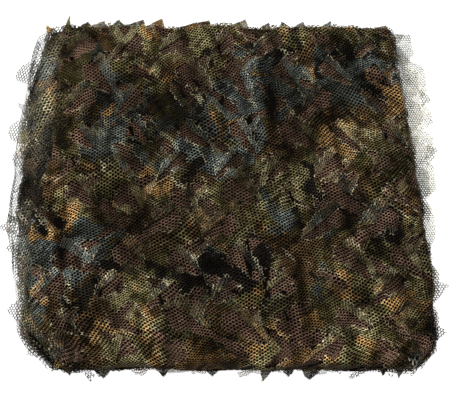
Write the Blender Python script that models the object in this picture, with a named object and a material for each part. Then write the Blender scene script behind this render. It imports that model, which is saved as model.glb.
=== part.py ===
"""A two-layer camouflage net, folded away flat.

A printed, leaf-cut net is sewn to a plain ground net. The doubled net is folded lengthwise in four, like a W,
and the strip that this gives is laid back and forth in five runs. The lowest layer of the first run reaches out
past the pile on the right, and the last run ends short of the pile's left side, on top.

Metres, +Z up. The origin is under the middle of the pile, on the surface it rests on.

Every point of the cloth is given by three numbers: a station along the strip, y across the strip, and n, the
height within the strip's own thickness. The two nets fill separate parts of that thickness, so they nest at
every fold.
"""

import math
from collections import namedtuple

import bmesh
import bpy

# The cloth
SHEET = 0.0010  # one net, with the loft of its yarn
NET_GAP = 0.0004  # air between the ground net and the leaf net
LAYER_GAP = 0.0004  # air between the four layers of the folded strip
RUN_GAP = 0.0008  # air between one run of the strip and the next

# How it is folded
LAYERS = 4  # layers of doubled net in the strip, after folding lengthwise
RUNS = 5  # runs of the strip in the pile
HALF_DEPTH = 0.1705  # from the pile's middle to where the lengthwise folds begin to turn
EDGE_FOLD_SEGMENTS = 3  # flats round each lengthwise fold
BEND_SEGMENTS = 5  # flats round each bend from one run to the next

DOUBLED = 2 * SHEET + NET_GAP
LAYER_PITCH = DOUBLED + LAYER_GAP
STRIP = (LAYERS - 1) * LAYER_PITCH + DOUBLED
RUN_PITCH = STRIP + RUN_GAP
BEND_RADIUS = RUN_PITCH / 2
BEND_REACH = BEND_RADIUS + STRIP / 2  # a bend's outer side, measured from its axis

# The pile's outline, in rows from the back to the front. The low and high columns are the outer sides of the
# lower and upper bends on each side, top_end is the last run's cut end, loose is how far the lowest layer reaches
# out past the ones above it on the right, none at the back, where a fold holds it, and crown is the share of the
# pile's loft.
Row = namedtuple("Row", "y left_low left_high top_end right_low right_high loose crown")
OUTLINE = [
    Row(HALF_DEPTH, -0.191, -0.183, -0.164, 0.178, 0.175, 0.000, 0.40),
    Row(0.150, -0.197, -0.188, -0.168, 0.180, 0.177, 0.027, 0.65),
    Row(0.092, -0.207, -0.196, -0.176, 0.188, 0.184, 0.034, 1.00),
    Row(-0.030, -0.213, -0.203, -0.186, 0.202, 0.199, 0.027, 0.85),
    Row(-0.136, -0.198, -0.192, -0.178, 0.209, 0.206, 0.018, 1.00),
    Row(-HALF_DEPTH, -0.166, -0.160, -0.150, 0.192, 0.188, 0.015, 0.45),
]

# Where the layers stand apart: two pillows with the main crease between them.
Loft = namedtuple("Loft", "x height")
LOFTS = [
    Loft(-0.092, 0.0080),
    Loft(0.046, 0.0012),
    Loft(0.122, 0.0065),
]

# Each run lies a little further forward or back than the one under it, and takes its share of the loft.
Run = namedtuple("Run", "drift loft_share")
RUN_TABLE = [
    Run(0.000, 0.00),
    Run(0.002, 0.25),
    Run(-0.002, 0.50),
    Run(0.001, 0.75),
    Run(-0.001, 1.00),
]

# A station is a place along the strip: at an x within a run, or at an angle round a bend.
Station = namedtuple("Station", "run x bend angle")
LOOSE, TOP_END = "loose end", "top end"


def outline(column, y):
    """A column of the outline table at y, straight between its rows."""
    y = max(-HALF_DEPTH, min(HALF_DEPTH, y))
    for back, front in zip(OUTLINE, OUTLINE[1:]):
        if y >= front.y:
            share = (y - front.y) / (back.y - front.y)
            return share * getattr(back, column) + (1 - share) * getattr(front, column)


def bend_axis(bend, y):
    """The x of a bend's axis. Odd bends are on the left, even ones on the right."""
    level = "low" if bend <= 2 else "high"
    if bend % 2:
        return outline("left_" + level, y) + BEND_REACH
    return outline("right_" + level, y) - BEND_REACH


def run_height(run):
    """The middle of a run's thickness, above the surface, where nothing lofts it."""
    return STRIP / 2 + run * RUN_PITCH


def loose_share(n):
    """How much of the loose end's reach a point of the strip takes: all in the lowest layer, none above it."""
    lowest = -(LAYERS - 1) / 2 * LAYER_PITCH
    return max(0.0, min(1.0, (LAYER_PITCH / 2 - (n - lowest)) / (LAYER_PITCH / 2)))


def place_in_run(station, y, n):
    run = RUN_TABLE[station.run]
    up = 1 if station.run % 2 == 0 else -1
    loft = 0.0
    if station.x == LOOSE:
        x = outline("right_low", y) - BEND_REACH + loose_share(n) * outline("loose", y)
    elif station.x == TOP_END:
        x = outline("top_end", y)
    else:
        x = station.x.x
        loft = station.x.height * outline("crown", y) * run.loft_share
    return x, y + run.drift, run_height(station.run) + up * n + loft


def place_in_bend(station, y, n):
    on_left = station.bend % 2 == 1
    radius = BEND_RADIUS + (-n if on_left else n)
    out = -1 if on_left else 1
    x = bend_axis(station.bend, y) + out * radius * math.cos(station.angle)
    z = run_height(station.bend - 1) + BEND_RADIUS + radius * math.sin(station.angle)
    share = station.angle / math.pi + 0.5
    below, above = RUN_TABLE[station.bend - 1], RUN_TABLE[station.bend]
    return x, y + (1 - share) * below.drift + share * above.drift, z


def place(station, y, n):
    """The point in space of a point of the strip."""
    if station.bend is None:
        return place_in_run(station, y, n)
    return place_in_bend(station, y, n)


def stations():
    """All stations, from the loose end of the lowest run to the cut end of the top one."""
    found = [Station(0, LOOSE, None, None)]
    for run in range(RUNS):
        heading_right = run % 2 == 1
        lofts = LOFTS if heading_right else reversed(LOFTS)
        found += [Station(run, loft, None, None) for loft in lofts]
        if run < RUNS - 1:
            for i in range(BEND_SEGMENTS + 1):
                angle = math.pi * (i / BEND_SEGMENTS - 0.5)
                found.append(Station(None, None, run + 1, angle))
    found.append(Station(RUNS - 1, TOP_END, None, None))
    return found


def line_across(offset):
    """The (y, n) points of a line that follows the W across the strip, offset to the left of its way."""
    points = []
    for layer in range(LAYERS):
        heading = 1 if layer % 2 == 0 else -1
        middle = (layer - (LAYERS - 1) / 2) * LAYER_PITCH
        rows = sorted((row.y for row in OUTLINE), reverse=heading < 0)
        points += [(y, middle + heading * offset) for y in rows]
        if layer == LAYERS - 1:
            break
        radius = LAYER_PITCH / 2 - heading * offset
        for i in range(1, EDGE_FOLD_SEGMENTS):
            angle = math.pi * (i / EDGE_FOLD_SEGMENTS - 0.5)
            y = heading * (HALF_DEPTH + radius * math.cos(angle))
            points.append((y, middle + LAYER_PITCH / 2 + radius * math.sin(angle)))
    return points


def two_triangles(a, b, c, d):
    """A four-cornered facet as two triangles, cut along the diagonal that runs towards +X and +Y together, so
    that the layers above and below, cut alike, stay the same distance away."""
    run = c.co - a.co
    if run.x * run.y >= 0:
        return (a, b, c), (a, c, d)
    return (a, b, d), (b, c, d)


def folded_net(name, near, far, material):
    """One net: the sheet between two offsets from the middle of the doubled net, along every station."""
    around = line_across(near) + line_across(far)[::-1]
    mesh = bpy.data.meshes.new(name)
    bm = bmesh.new()
    rings = [[bm.verts.new(place(s, y, n)) for y, n in around] for s in stations()]
    for ring, after in zip(rings, rings[1:]):
        for i, vertex in enumerate(ring):
            j = (i + 1) % len(ring)
            for corners in two_triangles(vertex, ring[j], after[j], after[i]):
                bm.faces.new(corners)
    last = len(around) - 1
    for ring in (rings[0], rings[-1]):
        for i in range(len(around) // 2 - 1):
            for corners in two_triangles(ring[i], ring[i + 1], ring[last - i - 1], ring[last - i]):
                bm.faces.new(corners)
    bmesh.ops.recalc_face_normals(bm, faces=bm.faces[:])
    bm.to_mesh(mesh)
    bm.free()
    mesh.materials.append(material)
    net = bpy.data.objects.new(name, mesh)
    bpy.context.collection.objects.link(net)
    return net


def yarn(name, colour, roughness):
    material = bpy.data.materials.new(name)
    material.use_nodes = True
    shader = material.node_tree.nodes["Principled BSDF"]
    shader.inputs["Base Color"].default_value = (*colour, 1.0)
    shader.inputs["Roughness"].default_value = roughness
    shader.inputs["Metallic"].default_value = 0.0
    return material


def stand_on_origin(nets):
    """Moves the nets together so that the middle of their box, at its bottom, is the origin."""
    corners = [v.co for net in nets for v in net.data.vertices]
    middle_x = (min(c.x for c in corners) + max(c.x for c in corners)) / 2
    middle_y = (min(c.y for c in corners) + max(c.y for c in corners)) / 2
    for net in nets:
        net.location = (-middle_x, -middle_y, -min(c.z for c in corners))


def ground_net():
    """The plain brown net, on the inner side of the doubled net's first fold."""
    return folded_net("ground_net", NET_GAP / 2, NET_GAP / 2 + SHEET, yarn("brown_yarn", (0.11, 0.05, 0.04), 0.9))


def leaf_net():
    """The printed net, outermost on the strip's upper and lower sides."""
    return folded_net("leaf_net", -NET_GAP / 2 - SHEET, -NET_GAP / 2, yarn("printed_yarn", (0.08, 0.075, 0.03), 0.9))


for old in list(bpy.data.objects):
    bpy.data.objects.remove(old, do_unlink=True)
stand_on_origin([ground_net(), leaf_net()])
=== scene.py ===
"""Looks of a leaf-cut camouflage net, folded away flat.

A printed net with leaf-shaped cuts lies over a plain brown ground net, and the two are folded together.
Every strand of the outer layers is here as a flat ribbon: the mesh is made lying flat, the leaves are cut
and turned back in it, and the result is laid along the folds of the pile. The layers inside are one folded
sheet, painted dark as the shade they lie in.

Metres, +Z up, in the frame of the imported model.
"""

import math
from collections import namedtuple

import bpy
import numpy as np
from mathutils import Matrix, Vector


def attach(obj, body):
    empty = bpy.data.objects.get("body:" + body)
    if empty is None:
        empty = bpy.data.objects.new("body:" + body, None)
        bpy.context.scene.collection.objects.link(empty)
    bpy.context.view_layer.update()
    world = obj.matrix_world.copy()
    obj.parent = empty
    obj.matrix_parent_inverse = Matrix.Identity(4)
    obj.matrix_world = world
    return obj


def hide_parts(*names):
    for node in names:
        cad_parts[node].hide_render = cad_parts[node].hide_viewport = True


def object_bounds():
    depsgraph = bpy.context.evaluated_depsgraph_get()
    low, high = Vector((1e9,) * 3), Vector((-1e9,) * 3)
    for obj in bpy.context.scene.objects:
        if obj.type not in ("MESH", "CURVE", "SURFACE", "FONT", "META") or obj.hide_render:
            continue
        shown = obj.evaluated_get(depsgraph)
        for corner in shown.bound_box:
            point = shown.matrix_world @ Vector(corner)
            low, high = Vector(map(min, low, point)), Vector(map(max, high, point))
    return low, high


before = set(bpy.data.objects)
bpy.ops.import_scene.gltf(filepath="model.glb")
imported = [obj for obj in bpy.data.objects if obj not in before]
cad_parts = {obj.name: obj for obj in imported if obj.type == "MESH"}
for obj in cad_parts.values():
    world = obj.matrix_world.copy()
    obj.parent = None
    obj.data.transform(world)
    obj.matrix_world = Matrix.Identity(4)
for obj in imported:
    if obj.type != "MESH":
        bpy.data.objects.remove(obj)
cad_low, cad_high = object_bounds()

# ----------------------------------------
# The pile's own sizes

SHEET = 0.0010  # one net, with the loft of its yarn
NET_GAP = 0.0004  # air between the ground net and the leaf net
LAYER_GAP = 0.0004  # air between the layers of the folded strip
RUN_GAP = 0.0008  # air between one run of the strip and the next
LAYERS = 4  # layers of doubled net in the strip
RUNS = 5  # runs of the strip in the pile
HALF_DEPTH = 0.1705  # from the pile's middle to where the lengthwise folds begin to turn

DOUBLED = 2 * SHEET + NET_GAP
LAYER_PITCH = DOUBLED + LAYER_GAP
STRIP = (LAYERS - 1) * LAYER_PITCH + DOUBLED
RUN_PITCH = STRIP + RUN_GAP
BEND_RADIUS = RUN_PITCH / 2
BEND_REACH = BEND_RADIUS + STRIP / 2
TOP = (RUNS - 1) * RUN_PITCH + STRIP  # the top of the last run, where nothing lofts it
OUTERMOST = (LAYERS - 1) / 2 * LAYER_PITCH  # the middle of the strip's outermost layer, from its own middle
NET_OFFSET = (NET_GAP + SHEET) / 2  # each net's middle, from the middle of the doubled net

# The outline from back to front: the outer sides of the lower and upper bends, the last run's cut end, how
# far the lowest layer reaches out on the right, and the share of the loft.
Row = namedtuple("Row", "y left_low left_high top_end right_low right_high loose crown")
OUTLINE = [
    Row(HALF_DEPTH, -0.191, -0.183, -0.162, 0.178, 0.175, 0.030, 0.40),
    Row(0.150, -0.197, -0.188, -0.161, 0.180, 0.177, 0.039, 0.65),
    Row(0.092, -0.207, -0.196, -0.163, 0.188, 0.184, 0.038, 1.00),
    Row(0.044, -0.210, -0.199, -0.165, 0.194, 0.191, 0.032, 0.95),
    Row(-0.030, -0.213, -0.203, -0.183, 0.202, 0.199, 0.023, 0.85),
    Row(-0.136, -0.198, -0.192, -0.177, 0.209, 0.206, 0.014, 1.00),
    Row(-0.156, -0.184, -0.178, -0.166, 0.208, 0.204, 0.012, 0.80),
    Row(-HALF_DEPTH, -0.168, -0.162, -0.152, 0.193, 0.189, 0.010, 0.45),
]
SIDEWAYS = cad_low.x - min(row.left_low for row in OUTLINE)  # from the outline's x to the frame's

# How high the top lofts along x: two pillows with the main crease between them.
Loft = namedtuple("Loft", "x height")
LOFT_ROWS = ((-0.205, 0.0), (-0.092, 0.0080), (0.046, 0.0012), (0.122, 0.0065), (0.205, 0.0))
LOFTS = [Loft(*row) for row in LOFT_ROWS]
DRIFTS = (0.000, 0.002, -0.002, 0.001, -0.001)  # how far forward or back each run lies

# The main creases of the top, in millimetres, from one end to the other: troughs below zero, ridges above.
Crease = namedtuple("Crease", "x0 y0 x1 y1 bow width height")
CREASE_ROWS = [
    (30, 160, 50, 78, 4, 6, -5),
    (18, 165, 36, 70, 3, 6, 3),
    (46, 92, 48, 66, 0, 5, -5),
    (50, 78, 82, -60, 7, 5, -3.4),
    (74, -40, 86, -176, -6, 5, -2.6),
    (62, 62, 96, -170, 6, 5, 2.6),
    (22, 50, 40, -70, -5, 4.8, -2.6),
    (44, -66, 52, -176, 4, 5, -2.8),
    (36, 10, 64, -172, -5, 4.5, 2.6),
    (8, -20, 24, -174, 5, 5.5, 2.2),
    (98, -30, 116, -174, -4, 5, -2.2),
    (-172, 132, -161, 36, 3, 4.5, -6),
    (-146, 140, -138, 20, -4, 6, 2.6),
    (-170, 10, -150, -130, 4, 7, -3),
    (-110, 110, -20, 75, 10, 8, -2),
    (-130, -60, -40, -120, -8, 8, 2.2),
    (100, 120, 170, 60, -6, 7, 2),
    (110, -40, 180, -100, 8, 8, -2.2),
]
CREASES = [Crease(*(size / 1000 for size in row)) for row in CREASE_ROWS]

# The two meshes: how far each is from the middle of the doubled net, the pitch of its columns of six-sided
# holes, its strands' breadth, how far it is turned on the cloth, how far folding warps it, and how high its
# puckers stand.
Net = namedtuple("Net", "offset column strand turn warp uneven seed")
LEAF_NET = Net(-NET_OFFSET, 0.00256, 0.00078, 0.13, 0.0026, 0.0009, 0)
GROUND_NET = Net(NET_OFFSET, 0.00270, 0.00086, 0.12, 0.0024, 0.0, 10)
# The ways of the three strands at every other junction, in degrees, opposite at the ones between, and their
# breadths as shares of the net's. The lengthwise strands are of two yarns, and one slanting way is thin.
Strand = namedtuple("Strand", "way share")
STRANDS = [Strand(0, 1.35), Strand(120, 0.70), Strand(240, 0.95)]

# The leaf cuts: chevrons that point left and right by turns, each of two arms
CUT_COLUMN = 0.052
CUT_ROW = 0.0315
ARM_LENGTH = 0.034
ARM_WIDTH = 0.0118
ARM_SLOPE = math.radians(48)
SLOPE_SCATTER = 0.12  # radians
CUT_STAGGER = 0.007  # how far to the left of the others the chevrons that point left stand
ROW_SHIFT = 0.0007  # how far to the right each row stands of the one before
CUT_SCATTER = 0.0030
CUT_SIZES = (0.78, 1.22)  # shares of the sizes above, least and most
ARM_SIZES = (0.75, 1.15)
STIFF_TURNS = (0.5, 1.5)  # how far a flap is turned that stands stiffly up, in radians
TWISTS = (-0.6, 0.6)  # how much further a flap is turned at one end of its hinge than at the other
ROLLS = (0.0016, 0.0034)  # the length of cloth that bends at a hinge

HANG_RADIUS = 0.0065  # how tightly the top sheet turns down over the pile's edges
TIGHTEST = 0.0008  # the least radius of a bend
FLOOR_GAP = 0.0003  # between the floor and the lowest yarn
DRAWN_IN = 0.0040  # how far the lowest bends on the left lie in from the slack ply's outer side
SIDE_BULGE = 0.0018  # how far the sides bulge in and out
BACK_BULGE = 0.0009
FRONT_BULGE = 0.0018
STAND_OFF = 0.0004  # the least that the sheets on top stand off the layers below
LEFT_BULGE = 0.0060  # how far the lowest bends on the left bulge out
BULGE_Y = 0.112  # the place along the side where they bulge most
BULGE_SPREAD = 0.035
BULGE_TOP = (0.020, 0.050)  # the heights between which the bulge dies away

PUFF_TOP = 0.0660  # above this the yarn lies in a soft heap, at PACKED of its free height
PACKED = 0.45


# ----------------------------------------
# How the cloth lies

WAVES = 9


def waves(u, v, size, seed):
    """A smooth uneven field, mostly within -1 and 1: the sum of WAVES sine waves of about one size, in
    seeded directions."""
    draw = np.random.default_rng(seed)
    turns = draw.uniform(0, math.pi, WAVES)
    starts = draw.uniform(0, 2 * math.pi, WAVES)
    sizes = size * draw.uniform(0.7, 1.5, WAVES)
    total = np.zeros(np.broadcast(u, v).shape)
    for turn, start, length in zip(turns, starts, sizes):
        total += np.sin((u * math.cos(turn) + v * math.sin(turn)) * 2 * math.pi / length + start)
    return total * 1.1 / math.sqrt(WAVES)


def ease(value, low, high):
    """From 0 at low to 1 at high with soft ends: the share s of the way as s^2 (3 - 2 s)."""
    share = np.clip((value - low) / (high - low), 0, 1)
    return share * share * (3 - 2 * share)


ROUNDING = 19  # millimetres over which the outline's corners are rounded
outline_y = np.arange(-260, 261) / 1000
rounding = np.hanning(ROUNDING + 2)[1:-1]


def rounded_column(name):
    """A column of the outline on outline_y: straight between its rows, then rounded by averaging."""
    ys = [row.y for row in reversed(OUTLINE)]
    plain = np.interp(outline_y, ys, [getattr(row, name) for row in reversed(OUTLINE)])
    padded = np.pad(plain, ROUNDING // 2, mode="edge")
    return np.convolve(padded, rounding / rounding.sum(), mode="valid")


rounded = {name: rounded_column(name) for name in Row._fields[1:]}


def outline(name, y):
    """A rounded column of the outline at y."""
    return np.interp(y, outline_y, rounded[name])


def hung(past, n):
    """How far out and down a sheet is, so far past an edge: it follows an arc of HANG_RADIUS through a
    quarter turn, and then hangs straight."""
    turned = np.minimum(past / HANG_RADIUS, math.pi / 2)
    reach = np.maximum(HANG_RADIUS + n - OUTERMOST, 0.0)
    return reach * np.sin(turned), reach * (1 - np.cos(turned)) + past - turned * HANG_RADIUS


def across_strip(across, offset, overhang=0.0):
    """y and n of points of the doubled net, n being the height within the strip.

    Places across the strip count layers and folds by turns. In a layer y runs straight from edge to edge,
    and in a fold the point goes half round a circle. The outermost layer hangs down past its front edge."""
    part = np.clip(np.floor(across), 0, 2 * LAYERS - 2).astype(int)
    share = across - part
    layer = part // 2
    heading = 1 - 2 * (layer % 2)
    middle = (layer - (LAYERS - 1) / 2) * LAYER_PITCH
    in_fold = part % 2 == 1
    radius = LAYER_PITCH / 2 - heading * offset
    angle = math.pi * (share - 0.5)
    folded_y = heading * (HALF_DEPTH + radius * np.cos(angle))
    y = np.where(in_fold, folded_y, heading * (2 * share - 1) * HALF_DEPTH)
    n = np.where(in_fold, middle + LAYER_PITCH / 2 + radius * np.sin(angle), middle + heading * offset)
    past = np.where(in_fold | (layer < LAYERS - 1), 0.0, -HALF_DEPTH - y)
    past = np.maximum(past, 0.0) * overhang
    out, down = hung(past, n)
    return np.where(past > 0, -HALF_DEPTH - out, y), n - down


def along_strip(along, y, n):
    """x and z of points at y across the strip and n within it.

    Places along the strip count runs and bends by turns. In a run x goes straight between the axes of the
    bends at its ends, and in a bend the point goes half round the axis, n nearer or further. The last run
    hangs down past its cut end, and the lowest bends on the left are drawn in behind the slack ply."""
    left_low = outline("left_low", y) + BEND_REACH + DRAWN_IN * ease(y, -0.100, 0.000)
    left_high = outline("left_high", y) + BEND_REACH
    right_low = outline("right_low", y) - BEND_REACH
    right_high = outline("right_high", y) - BEND_REACH
    ends = [right_low, left_low, right_low, left_high, right_high, outline("top_end", y)]
    part = np.clip(np.floor(along), 0, 2 * RUNS - 2).astype(int)
    share = along - part
    run = part // 2
    begin = np.choose(run, ends[:RUNS])
    end = np.choose(run, ends[1:])
    up = 1 - 2 * (run % 2)
    radius = np.maximum(BEND_RADIUS - up * n, TIGHTEST)
    angle = math.pi * (share - 0.5)
    base = STRIP / 2 + run * RUN_PITCH
    in_bend = part % 2 == 1
    x = np.where(in_bend, end - up * radius * np.cos(angle), begin + share * (end - begin))
    z = np.where(in_bend, base + BEND_RADIUS + radius * np.sin(angle), base + up * n)
    past = np.where(part == 2 * RUNS - 2, np.maximum(end - x, 0.0), 0.0)
    out, down = hung(past, n)
    return np.where(past > 0, end - out, x), z - down


def drift_at(along):
    """How far forward or back the strip lies: a run's own drift, shared between two runs in a bend."""
    return np.interp(along, np.arange(2 * RUNS), np.repeat(DRIFTS, 2))


def pillows(x, y):
    """The height of the two pillows: eased between the table's stations, times the crown's share at y."""
    height = np.zeros(x.shape)
    for left, right in zip(LOFTS, LOFTS[1:]):
        inside = (x >= left.x) & (x < right.x)
        here = left.height + (right.height - left.height) * ease(x, left.x, right.x)
        height = np.where(inside, here, height)
    return height * outline("crown", y)


def creases(x, y):
    """The height of the creases. Each follows a bowed line: its height is a bell across it, with exp of
    minus the squared distance in widths, times the root of half a sine wave from end to end."""
    height = np.zeros(x.shape)
    for crease in CREASES:
        run = np.array((crease.x1 - crease.x0, crease.y1 - crease.y0))
        length = math.hypot(*run)
        run = run / length
        ahead = ((x - crease.x0) * run[0] + (y - crease.y0) * run[1]) / length
        aside = (y - crease.y0) * run[0] - (x - crease.x0) * run[1]
        within = np.clip(ahead, 0, 1)
        aside = aside - crease.bow * 4 * within * (1 - within)
        fade = np.sqrt(np.sin(math.pi * within))
        height = height + crease.height * fade * np.exp(-((aside / crease.width) ** 2))
    return height


# The puckers of the sheets on top: their height and their size.
Pucker = namedtuple("Pucker", "height size seed")
BROAD, SMALL = Pucker(0.0024, 0.046, 11), Pucker(0.0015, 0.022, 12)
RIPPLE_HEIGHT = 0.0020
RIPPLE_PITCH = 0.0175


def puff(x, y):
    """How far the outermost sheets stand off the layers below. Puckers are rectified wave fields, with
    sharp valleys between them, and slanting ripples of 1 plus a sine lie at the front of the middle."""
    puckers = [pucker.height * np.abs(waves(x, y, pucker.size, pucker.seed)) for pucker in (BROAD, SMALL)]
    ripples = ease(x, 0.005, 0.040) * (1 - ease(x, 0.095, 0.125)) * (1 - ease(y, -0.010, 0.040))
    slant = x + 0.10 * y + 0.003 * waves(x, y, 0.09, 13)
    return sum(puckers) + RIPPLE_HEIGHT * ripples * (1 + np.sin(slant * 2 * math.pi / RIPPLE_PITCH))


def near_top(z):
    """1 in the outermost sheets on top of the pile, and 0 below them."""
    return ease(z, TOP - 0.012, TOP - 0.001)


MIDDLE_LIGHT = 0.82  # the light of a ridge in the middle of the pile
RIM_LIGHT = 0.62  # how much more it has at the left and right rims, where light shines through the cloth
BACK_RIM = 0.45  # the share of that at the back and front rims
MEAN_RISE = 0.0022  # the height of puckers and creases between valley and ridge
RISE_SPAN = 0.0042


def yarn_light(points):
    """The light that yarn has by its place: none in the valleys of the top sheet, all of the place's light
    on its ridges, and half of it away from the top."""
    x, y, z = points.T
    x = x - SIDEWAYS
    rise = creases(x, y) + puff(x, y)
    share = np.clip(0.5 + near_top(z) * (rise - MEAN_RISE) / RISE_SPAN, 0, 1)
    rim = np.maximum(ease(np.abs(x), 0.085, 0.160), BACK_RIM * ease(np.abs(y), 0.11, 0.165))
    return share * (MIDDLE_LIGHT + RIM_LIGHT * rim)


def settle(points, outermost):
    """Makes the laid cloth uneven: it lofts by the share of its height, its sides bulge in and out, and the
    sheets on top puff up."""
    x, y, z = points.T
    share = np.clip(z / TOP, 0, 1)
    on_top = near_top(z) * outermost
    lift = (pillows(x, y) + creases(x, y)) * share**1.3 + on_top * (STAND_OFF + puff(x, y))
    side = ease(np.abs(x), 0.150, 0.200)
    front = ease(np.abs(y), 0.140, 0.172)
    aside = SIDE_BULGE * side * waves(y, z * 2, 0.060, 21)
    low_left = side * (x < 0) * (1 - ease(z, *BULGE_TOP))
    aside += LEFT_BULGE * low_left * np.exp(-(((y - BULGE_Y) / BULGE_SPREAD) ** 2))
    ahead = np.where(y > 0, BACK_BULGE, FRONT_BULGE) * front * waves(x, z * 2, 0.070, 22)
    low = ease(z, 0.0, 0.010)
    settled = np.stack((x + aside * np.sign(x) + SIDEWAYS, y + ahead * low, z + lift), axis=-1)
    settled[:, 2] = np.maximum(settled[:, 2], FLOOR_GAP)
    return settled


# ----------------------------------------
# The flat mesh and its leaf cuts


def direction(degrees):
    """The flat direction at an angle."""
    return np.array((math.cos(math.radians(degrees)), math.sin(math.radians(degrees))))


def pairings(first, second):
    """Every pairing of two rows of values, as two flat arrays."""
    return (grid.ravel() for grid in np.meshgrid(first, second, indexing="ij"))


JUNCTION_SCATTER = 0.00006
STRAND_SIZES = (0.82, 1.18)  # shares of the net's strand, least and most


def honeycomb(width, length, net, seed):
    """An open six-sided mesh lying flat, over a rectangle of width along a and length along b: its corner
    points, its strands and its junctions.

    Each hole's centre is on a lattice, and a junction sits a side's length to its right and another to its
    left. A junction is the facet of three corners, one between each two of its strands: where strands of
    half-breadths g and h meet along directions G and H, it is (h G + g H) / sin 120. A strand is the facet
    from two corners of one junction to two of the next. The whole is turned about its middle."""
    beyond = abs(net.turn) * max(width, length) + 4 * net.warp
    side = net.column / 1.5
    row = side * math.sqrt(3)
    columns, rows = int((width + beyond) / net.column) + 4, int((length + beyond) / row) + 4
    m, q = pairings(np.arange(columns), np.arange(rows))
    centre = np.stack(((m - 1.5) * net.column, (q - 1.5 + 0.5 * (m % 2)) * row), axis=-1) - beyond / 2
    draw = np.random.default_rng(seed)
    corners = np.empty((len(m), 6, 2))
    for first, facing in ((0, 1), (3, -1)):
        junction = centre + (facing * side, 0) + draw.normal(0, JUNCTION_SCATTER, (len(m), 2))
        size = net.strand / 2 * draw.uniform(*STRAND_SIZES, (len(m), 1))
        for k, one in enumerate(STRANDS):
            other = STRANDS[(k + 1) % 3]
            corner = other.share * direction(one.way) + one.share * direction(other.way)
            corners[:, first + k] = junction + facing * size * (corner / math.sin(math.pi * 2 / 3))
    middle = np.array((width / 2, length / 2))
    turn = math.degrees(net.turn)
    corners = (corners - middle) @ np.array((direction(turn), direction(turn + 90))) + middle
    index = np.arange(len(m)).reshape(columns, rows)

    def joined(step_m, step_q, own, other):
        """Strands from each cell's right junction to the left junction of the cell a step away."""
        to_m, to_q = m + step_m, q + step_q
        fits = (to_m < columns) & (to_q >= 0) & (to_q < rows)
        near = np.arange(len(m))[fits] * 6
        far = index[to_m[fits], to_q[fits]] * 6
        return np.stack((near + own[0], far + other[0], far + other[1], near + own[1]), axis=-1)

    odd = m % 2
    strands = np.concatenate((
        joined(2, 0, (2, 0), (3, 5)),
        joined(1, odd, (0, 1), (4, 3)),
        joined(1, odd - 1, (1, 2), (5, 4)),
    ))
    cells = np.arange(len(m))[:, None] * 6
    junctions = np.concatenate((cells + (0, 1, 2), cells + (3, 4, 5)))
    return corners.reshape(-1, 2), strands, junctions


Arm = namedtuple("Arm", "start along across length width turn twist roll")

# How the flaps of a window are turned: the least and most angle, the share of arms that stay closed, and
# the share of chevrons whose flaps stand stiffly up.
Turning = namedtuple("Turning", "least most closed stiff")
TOP_CUTS = Turning(2.5, 3.0, 0.08, 0.07)
SIDE_CUTS = Turning(2.2, 3.0, 0.30, 0.0)
STIFF_BELOW = 1.6  # flaps turned by less than this stand straight out from their hinge


def leaf_cuts(width, length, turning, seed):
    """The arms of every chevron cut on a flat piece of the net.

    Chevrons stand in rows that point left and right by turns, each a little off its place. An arm is a band
    from the chevron's point outwards, hinged on its hollow side, where its flap is turned up and back."""
    draw = np.random.default_rng(seed)
    arms = []
    rows = int(length / CUT_ROW) + 3
    columns = int(width / CUT_COLUMN) + 3
    start = draw.uniform(0, 1, 2)
    for row in range(rows):
        points_left = row % 2 == 0
        for column in range(columns):
            a = (column - 1 + start[0]) * CUT_COLUMN - CUT_STAGGER * points_left + ROW_SHIFT * row
            a += draw.normal(0, CUT_SCATTER)
            b = (row - 1 + start[1]) * CUT_ROW + draw.normal(0, CUT_SCATTER)
            size = draw.uniform(*CUT_SIZES)
            turn = draw.uniform(turning.least, turning.most)
            if draw.uniform() < turning.stiff:
                turn = draw.uniform(*STIFF_TURNS)
            for side in (-1, 1):
                slope = ARM_SLOPE + draw.normal(0, SLOPE_SCATTER)
                way = 1 if points_left else -1
                along = np.array((way * math.cos(slope), side * math.sin(slope)))
                across = np.array((-way * math.sin(slope), side * math.cos(slope)))
                arm_length = ARM_LENGTH * size * draw.uniform(*ARM_SIZES)
                arm_width = ARM_WIDTH * size * draw.uniform(*ARM_SIZES)
                twist = draw.uniform(*TWISTS)
                roll = draw.uniform(*ROLLS)
                if draw.uniform() < turning.closed:
                    continue
                hinge = np.array((a, b)) - across * arm_width
                arms.append(Arm(hinge, along, across, arm_length, arm_width, turn, twist, roll))
    return arms


def arm_frame(arm, points):
    """How far flat points lie along an arm's hinge, and how far out from it."""
    away = points - arm.start
    return away @ arm.along, away @ arm.across


ARM_TIP = 2.6  # the higher, the blunter an arm's tip
ARM_WAVE = 0.10  # how far a cut's edge waves, as a share of the arm's breadth
ARM_WAVE_LENGTH = 0.009


def arm_breadth(arm, along):
    """The arm's breadth at a share s of its hinge, from the chevron's point to the arm's tip: its width
    times sqrt(1 - s^ARM_TIP), with a slight wave."""
    share = np.clip(along / arm.length, 0, 1)
    wavy = 1 + ARM_WAVE * np.sin(along * 2 * math.pi / ARM_WAVE_LENGTH + arm.twist * 9)
    return arm.width * np.sqrt(1 - share**ARM_TIP) * wavy


CUT_HIGHLIGHT = 0.0016  # how far in from a cut a painted highlight lies on the yarn
RIM_HIGHLIGHT = 0.6  # how strong that painted highlight is on the net beside a flap, 1 being on the flap's own edge


def cut_faces(centres, arms):
    """Which arm's flap each facet belongs to, counted from 1 (0 is the net), and how near a cut it is."""
    member = np.zeros(len(centres), int)
    edge = np.zeros(len(centres))
    for number, arm in enumerate(arms, 1):
        along, across = arm_frame(arm, centres)
        breadth = arm_breadth(arm, along)
        beside = (along > -0.5 * arm.width) & (along < arm.length) & (across > 0)
        flap = beside & (across < breadth)
        member[flap] = number
        # the edge mark is a painted highlight along the cut
        edge[flap] = ease(across[flap], breadth[flap] - CUT_HIGHLIGHT, breadth[flap])
        rim = beside & (across >= breadth) & (across < breadth + CUT_HIGHLIGHT) & (member == 0)
        edge[rim] = RIM_HIGHLIGHT
    return member, edge


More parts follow.
